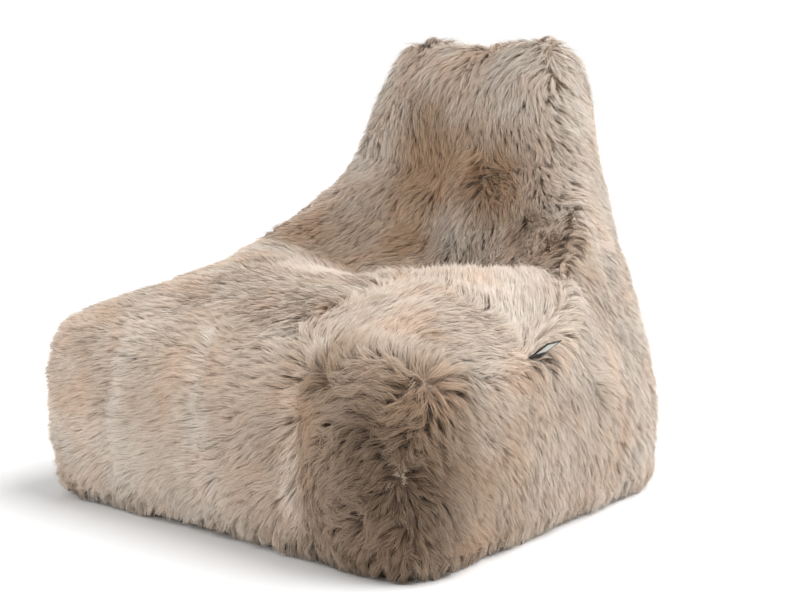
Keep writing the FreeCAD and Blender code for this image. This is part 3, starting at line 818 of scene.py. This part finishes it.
def strand_paths(locks, lock, roots, clear):
    """Each strand's path: along its lock, drawn in towards it, with a rise and stray of its own."""
    count = len(roots)
    facing = locks.facings[lock]
    heights = 1 - (1 - SHARES) ** 1.6
    stretch = RANDOM.uniform(0.6, 1.12, count)
    rise = locks.rises[lock] * RANDOM.uniform(0.70, 1.04, count) * clear
    loose = RANDOM.random(count) < 0.05
    rise = np.where(loose, rise * 1.18, rise)
    held = locks.gather[lock] * np.where(loose, 0.2, 1.0) * RANDOM.uniform(0.45, 0.95, count)
    kept = 1 - held[:, None] * SHARES[None, :] ** 1.3
    offset = (roots - locks.roots[lock])[:, None, :] * kept[..., None]
    along = (locks.spots - locks.spots[:, :1])[lock] * stretch[:, None, None]
    up = facing * (rise[:, None] * heights[None, :])[..., None]
    paths = locks.roots[lock][:, None, :] + offset + along + up

    wander = RANDOM.normal(0, 1, (count, 3)) * (0.0010 + 0.0016 * locks.stray[lock])[:, None]
    paths += wander[:, None, :] * (SHARES ** 1.5)[None, :, None]
    turn = RANDOM.uniform(0, math.tau, locks.count)[lock]
    side = unit(np.cross(facing[:, 1], along[:, -1]))
    angle = turn[:, None] + SHARES[None, :] * 4.4
    swing = (0.0012 + 0.0055 * locks.curl[lock])[:, None] * SHARES[None, :] ** 0.8
    paths += side[:, None, :] * (np.sin(angle) * swing)[..., None]
    paths += facing * (np.cos(angle) * swing * 0.6)[..., None]
    paths = part_at_label(paths)
    lowest = floor_of_wool(paths.reshape(-1, 3)).reshape(paths.shape[:2])
    low = paths[..., 2] < lowest
    paths[..., 2] = np.where(low, lowest + (paths[..., 2] - lowest) * 0.05, paths[..., 2])
    return paths


def strand_mesh(name, paths, facing):
    """Flat strands along the paths, tapering to a tip, shaded softly as part of the pelt."""
    count = len(paths)
    tangents = unit(np.gradient(paths, axis=1))
    flat = unit(np.cross(tangents, facing))
    roll = RANDOM.normal(0, 0.4, count)[:, None, None]
    across = flat * np.cos(roll) + np.cross(tangents, flat) * np.sin(roll)
    widths = WOOL_WIDTH * RANDOM.uniform(0.7, 1.2, count)[:, None] * np.array((0.8, 1.0, 0.75))
    left = paths[:, :SEGMENTS] - across[:, :SEGMENTS] * widths[..., None] / 2
    right = paths[:, :SEGMENTS] + across[:, :SEGMENTS] * widths[..., None] / 2
    body = np.stack([left, right], axis=2).reshape(count, -1, 3)
    corners = np.concatenate([body, paths[:, -1:]], axis=1)
    start = (np.arange(count) * CORNERS)[:, None]
    quads = [start + np.array((2 * k, 2 * k + 1, 2 * k + 3, 2 * k + 2)) for k in range(SEGMENTS - 1)]
    quads = np.stack(quads, axis=1).reshape(-1, 4)
    tips = start + np.array((CORNERS - 3, CORNERS - 2, CORNERS - 1))
    piece = new_mesh(name + "_wool", corners.reshape(-1, 3), [quads, tips])

    lean = RANDOM.normal(0, 0.30, count)[:, None, None]
    soft = unit(facing * 0.75 + np.cross(across, tangents) * 0.25 + flat * lean)
    soft = np.concatenate([np.repeat(soft[:, :-1], 2, axis=1), soft[:, -1:]], axis=1)
    layer = piece.data.attributes.new("custom_normal", "FLOAT_VECTOR", "POINT")
    layer.data.foreach_set("vector", soft.astype(np.float32).ravel())
    return piece


def color_strands(piece, locks, lock, roots):
    """What the wool's material reads: share along the strand, its own tone, brown, and dark, which is
    partly painted shade.
    """
    count = len(roots)
    colors = np.empty((count, CORNERS, 4), dtype=np.float32)
    colors[..., 0] = np.append(np.repeat(SHARES[:-1], 2), 1.0)
    single = RANDOM.random(count) * 0.5 + RANDOM.random(locks.count)[lock] * 0.5
    browner, darker = tones(roots, locks.brown[lock])
    for channel, values in enumerate((single, browner, darker), 1):
        colors[..., channel] = values[:, None]
    piece.data.color_attributes.new("wool", "FLOAT_COLOR", "POINT")
    piece.data.color_attributes["wool"].data.foreach_set("color", colors.ravel())


def strand_uv(piece, count):
    """Gives each strand its own strip of the texture, root at the bottom."""
    columns = math.ceil(math.sqrt(count * 6))
    rows = math.ceil(count / columns)
    number = np.arange(count)
    low_u, low_v = (number % columns) / columns, (number // columns) / rows
    shares_v = np.append(np.repeat(SHARES[:-1], 2), 1.0) * 0.8 + 0.1
    shares_u = np.append(np.tile((0.2, 0.8), SEGMENTS), 0.5)
    place = np.stack([low_u[:, None] + shares_u / columns, low_v[:, None] + shares_v / rows], axis=2)
    corners = np.empty(len(piece.data.loops), dtype=np.int32)
    piece.data.loops.foreach_get("vertex_index", corners)
    layer = piece.data.uv_layers.new(name="OFBake")
    layer.data.foreach_set("uv", place.reshape(count * CORNERS, 2)[corners].astype(np.float32).ravel())


def grow_wool(name, points, normals, free, triangles, face_numbers, styles, tree):
    """One pelt's wool as tapering strands, gathered into locks."""
    area = doubled_areas(triangles, points).sum() / 2
    density = BACK_DENSITY if name.startswith("back_") else DENSITY
    count = int(area * density * (1.0))
    locks = grow_locks(area, points, normals, triangles, face_numbers, styles, tree)
    spot = scatter(triangles, count, points)
    roots = at_spots(points, triangles, *spot)
    clear = at_spots(free, triangles, *spot)
    lock = nearest_locks(locks, roots)
    paths = strand_paths(locks, lock, roots, clear)
    piece = strand_mesh(name, paths, locks.facings[lock])
    color_strands(piece, locks, lock, roots)
    strand_uv(piece, count)
    return piece


def cover():
    points, normals, faces, owners, away = cover_hide()
    free = np.clip(clearances(points, normals), *WOOL_CLEARANCE)
    tree = BVHTree.FromPolygons(points.tolist(), faces.tolist())
    middles = points[faces].mean(axis=1)
    facing = np.cross(points[faces[:, 2]] - points[faces[:, 0]], points[faces[:, 3]] - points[faces[:, 1]])
    underside = (middles[:, 2] < 0.024) & (unit(facing)[:, 2] < -0.4)
    styles = cover_styles(len(points), faces, owners, away)
    rooted = points[faces][..., 2].min(axis=1) > HEM_Z - 0.002
    for number, name in enumerate(PELTS):
        mine = (owners == number) & ~underside
        hide = hide_piece(name, points, faces[mine])
        finish_piece(hide, "cover", HIDE, "sheepskin")
        chosen = np.flatnonzero(mine & rooted)
        triangles = np.concatenate([faces[chosen][:, (0, 1, 2)], faces[chosen][:, (0, 2, 3)]])
        wool = grow_wool(name, points, normals, free, triangles, np.tile(chosen, 2), styles, tree)
        finish_piece(wool, "cover", WOOL, "sheepskin", name)


# ---- the base ----
BASE_STEPS = 480
RIM_HEIGHTS = (0.0216, 0.0185, 0.0150, 0.0110, 0.0075, 0.0045, 0.0022, 0.0006)
FLOOR_SHARES = (0.985, 0.93, 0.8, 0.6, 0.35, 0.1)    # the floor's rings, as shares of the rim
BASE_MIDDLE = (0, -0.03, 0)
RAY_LENGTH = 0.9


def base_rim():
    """The base's rim: its outer face at each height, all round, as (height, turn, xyz)."""
    points, triangles = node_mesh("base_panel")
    tree = BVHTree.FromPolygons(points.tolist(), triangles.tolist())
    rings = []
    for height in RIM_HEIGHTS:
        ring = []
        for step in range(BASE_STEPS):
            turn = math.tau * step / BASE_STEPS
            way = Vector((math.cos(turn), math.sin(turn), 0))
            outside = Vector(BASE_MIDDLE) + way * RAY_LENGTH
            place = tree.ray_cast(outside + Vector((0, 0, min(height, 0.0025))), -way, RAY_LENGTH)[0]
            high = tree.ray_cast(outside + Vector((0, 0, height)), -way, RAY_LENGTH)[0]
            if high is not None and (high - place).length < 0.03:
                place = high
            ring.append((place.x, place.y, height))
        rings.append(ring)
    return np.array(rings)


def tube(name, path, radius, sides=8, closed=False):
    """A round cord along a path."""
    ahead = np.roll(path, -1, axis=0) - np.roll(path, 1, axis=0)
    if not closed:
        ahead[0], ahead[-1] = path[1] - path[0], path[-1] - path[-2]
    ahead = unit(ahead)
    up = np.array((0.0, 0.0, 1.0))
    out = unit(np.cross(ahead, up) + 1e-6)
    above = np.cross(out, ahead)
    turns = math.tau * np.arange(sides) / sides
    ring = np.cos(turns)[None, :, None] * out[:, None] + np.sin(turns)[None, :, None] * above[:, None]
    points = (path[:, None] + ring * radius).reshape(-1, 3)
    count = len(path)
    number = np.arange(count if closed else count - 1)
    quads = [np.stack([number * sides + k, number * sides + (k + 1) % sides,
                       (number + 1) % count * sides + (k + 1) % sides,
                       (number + 1) % count * sides + k], axis=1) for k in range(sides)]
    faces = [np.concatenate(quads)]
    if not closed:
        first = np.arange(sides)[None]
        faces += [first[:, ::-1], first + (count - 1) * sides]
    return new_mesh(name, points, faces)


def base():
    """The cloth that closes the underside: a flat floor with a puckered rim, open at the zip."""
    rim = base_rim()
    middle = np.array(BASE_MIDDLE)
    turns = math.tau * np.arange(BASE_STEPS) / BASE_STEPS
    pucker = np.abs(np.sin(turns * 57 + 1.5 * np.sin(turns * 5)))
    fade = (np.array(RIM_HEIGHTS) / 0.022)[:, None]
    inward = rim - middle
    inward[..., 2] = 0
    rim = rim - unit(inward) * (0.0006 + 0.0014 * pucker * fade)[..., None]
    foot = (rim[-1] - middle) * (1, 1, 0)
    rings = [rim] + [(middle + foot * share)[None] + (0, 0, 0.0004) for share in FLOOR_SHARES]
    rings = np.concatenate(rings)
    number = np.arange(BASE_STEPS)
    following = (number + 1) % BASE_STEPS
    quads = []
    for row in range(len(rings) - 1):
        low, high = (row + 1) * BASE_STEPS, row * BASE_STEPS
        quads.append(np.stack([low + number, low + following, high + following, high + number], axis=1))
    quads = np.concatenate(quads)
    points = rings.reshape(-1, 3)
    corners = points[quads]
    at_zip = (corners[..., 1].min(axis=1) > 0.3) & (np.abs(corners[..., 0]).min(axis=1) < ZIP_HALF)
    keep = ~(at_zip & (corners[..., 2].max(axis=1) > 0.003))
    piece = new_mesh("base_cloth_skin", points, [quads[keep]])
    cloth = piece.modifiers.new("cloth", "SOLIDIFY")
    cloth.thickness = 0.0009
    cloth.offset = -1
    finish_piece(applied(piece), "cover", BASE_CLOTH, "base_cloth", "base_panel")
    top = rim[0]
    at_zip = (top[:, 1] > 0.3) & (np.abs(top[:, 0]) < ZIP_HALF)
    start = int(np.flatnonzero(at_zip).max()) + 1
    order = [k % BASE_STEPS for k in range(start, start + BASE_STEPS) if not at_zip[k % BASE_STEPS]]
    cord = tube("base_piping", top[order] + (0, 0, -0.0012), 0.0013)
    finish_piece(cord, "cover", BASE_CLOTH, "base_cloth")


# ---- zips ----
COIL_PITCH = 0.0015
COIL_WIRE = 0.00032       # the wire's radius
COIL_STEPS = 8            # points in one turn of the wire
COIL_END = 0.0005         # how far each end of the wire stays inside the CAD coil


def coil(node, material, slot, across, lead):
    """Half of a zip's teeth: nylon wire wound round the tape's edge, over the CAD coil's length."""
    low, high = (np.array(corner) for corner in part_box(node))
    axis = np.array(across, dtype=float)
    third = np.array((0, 1, 0)) if abs(axis[2]) > 0.5 else np.array((0, 0, 1))
    centre = (low + high) / 2
    length = high[0] - low[0] - 2 * COIL_END
    steps = int(length / COIL_PITCH * COIL_STEPS)
    share = np.linspace(0, 1, steps)
    turns = share * length / COIL_PITCH * math.tau + lead
    path = np.zeros((steps, 3))
    path[:, 0] = low[0] + COIL_END + share * length
    path += centre * (0, 1, 1)
    wide = (high - low) @ np.abs(axis) / 2
    tall = (high - low) @ third / 2 - COIL_WIRE
    path += np.cos(turns)[:, None] * axis * wide + np.sin(turns)[:, None] * third * tall
    piece = tube(node + "_wire", path, COIL_WIRE, sides=5)
    finish_piece(piece, "cover", material, slot, node)


def zips():
    coil("cover_zip_coil_upper", COIL, "cover_zip_coil", (0, 0, -1), 0.0)
    coil("cover_zip_coil_lower", COIL, "cover_zip_coil", (0, 0, 1), math.pi)
    coil("inner_zip_coil_upper", INNER_COIL, "inner_zip_coil", (0, -1, 0), 0.0)
    coil("inner_zip_coil_lower", INNER_COIL, "inner_zip_coil", (0, 1, 0), math.pi)


# ---- the label ----
LABEL_WIDE = 0.045
LABEL_LONG = 0.0548
STRIPE_OUT = (0.020, 0.050)        # where the pale stripe starts and ends, out from the root
STRIPE_HALF = 0.0155
STITCH_PITCH = 0.0034
STITCH_INSET = 0.0022              # the border's stitches, in from the tape's edges
STITCH_END = 0.0520                # and its row across, out from the root
STITCH_HALF = (0.0011, 0.0002)     # half of a stitch's length and width


def on_label(out, across, up):
    """Places measured from the label's root to places in the frame."""
    return LABEL_ROOT + np.outer(out, LABEL_OUT) + np.outer(across, (0, 1, 0)) + np.outer(up, LABEL_UP)


def label_tape():
    steps, columns = 18, 12
    along = np.linspace(0, LABEL_LONG - 0.0012, steps)
    half = 0.0011 - 0.0004 * np.sin(np.pi * np.clip(along / 0.03, 0, 1))
    turns = np.linspace(math.pi / 2, -math.pi / 2, 7)[1:-1]
    out = np.concatenate([along, along[-1] + half[-1] * np.cos(turns), along[::-1]])
    up = np.concatenate([half, half[-1] * np.sin(turns), -half[::-1]])
    sides = np.linspace(-LABEL_WIDE / 2, LABEL_WIDE / 2, columns)
    grid = np.concatenate([on_label(out, np.full(len(out), side), up) for side in sides])
    rows = len(out)
    step, side = np.meshgrid(np.arange(rows - 1), np.arange(columns - 1))
    first = (side * rows + step).ravel()
    quads = np.stack([first, first + 1, first + rows + 1, first + rows], axis=1)
    tape = new_mesh("label_tape_loop", grid, [quads])
    thick = tape.modifiers.new("tape", "SOLIDIFY")
    thick.thickness = 0.0005
    thick.offset = -1
    finish_piece(applied(tape), "label_tab", LABEL_TAPE, "label_tape", "label_tab")


def label_stripe(word, face):
    stripe = []
    for out, side in itertools.product(STRIPE_OUT, (-STRIPE_HALF, STRIPE_HALF)):
        stripe.append((out, side, face * 0.00125))
        stripe.append((out, side, face * 0.0006))
    box = on_label(*np.array(stripe).T)
    faces = np.array([[0, 4, 6, 2], [0, 2, 3, 1], [2, 6, 7, 3], [6, 4, 5, 7], [4, 0, 1, 5]])
    piece = new_mesh("label_stripe_" + word, box, [faces if face > 0 else faces[:, ::-1]])
    piece.data.shade_flat()
    finish_piece(piece, "label_tab", LABEL_THREAD, "label_tape")


def label_stitches(word, face):
    edge = LABEL_WIDE / 2 - STITCH_INSET
    stitches = [(out, side, *STITCH_HALF) for side in (-edge, edge)
                for out in np.arange(0.006, STITCH_END, STITCH_PITCH)]
    stitches += [(STITCH_END, side, *STITCH_HALF[::-1]) for side in np.arange(-edge, edge, STITCH_PITCH)]
    corners = []
    for out, side, long, wide in stitches:
        for a, b in ((-1, -1), (1, -1), (1, 1), (-1, 1)):
            corners.append((out + a * long, side + b * wide, face * 0.00118))
        for a, b in ((-1, -1), (1, -1), (1, 1), (-1, 1)):
            corners.append((out + a * long * 0.8, side + b * wide * 0.6, face * 0.00145))
    first = np.arange(len(stitches))[:, None] * 8
    faces = np.concatenate([first + np.array(order) for order in
                            ((4, 5, 6, 7), (0, 1, 5, 4), (1, 2, 6, 5), (2, 3, 7, 6), (3, 0, 4, 7))])
    piece = new_mesh("label_stitches_" + word, on_label(*np.array(corners).T),
                     [faces if face > 0 else faces[:, ::-1]])
    finish_piece(piece, "label_tab", LABEL_THREAD, "label_tape")


def label():
    """Woven tape folded double: its fold at the tip, a sewn border and a plain pale stripe."""
    label_tape()
    for word, face in (("over", 1), ("under", -1)):
        label_stripe(word, face)
        label_stitches(word, face)


# CAD nodes that show as they are, each with a better material.
CARRIED = {
    "inner_bag_body": COTTON, "inner_bag_base": COTTON, "bead_fill": BEADS,
    "cover_zip_tape_upper": ZIP_TAPE, "cover_zip_tape_lower": ZIP_TAPE, "cover_zip_stops": METAL,
    "cover_zip_slider": METAL, "cover_zip_pull": METAL,
    "inner_zip_tape_upper": INNER_TAPE, "inner_zip_tape_lower": INNER_TAPE, "inner_zip_stops": METAL,
    "inner_zip_slider": METAL,
}

camera()
studio()
cover()
base()
zips()
label()
for name, material in CARRIED.items():
    NODES[name].data.materials.clear()
    NODES[name].data.materials.append(material)
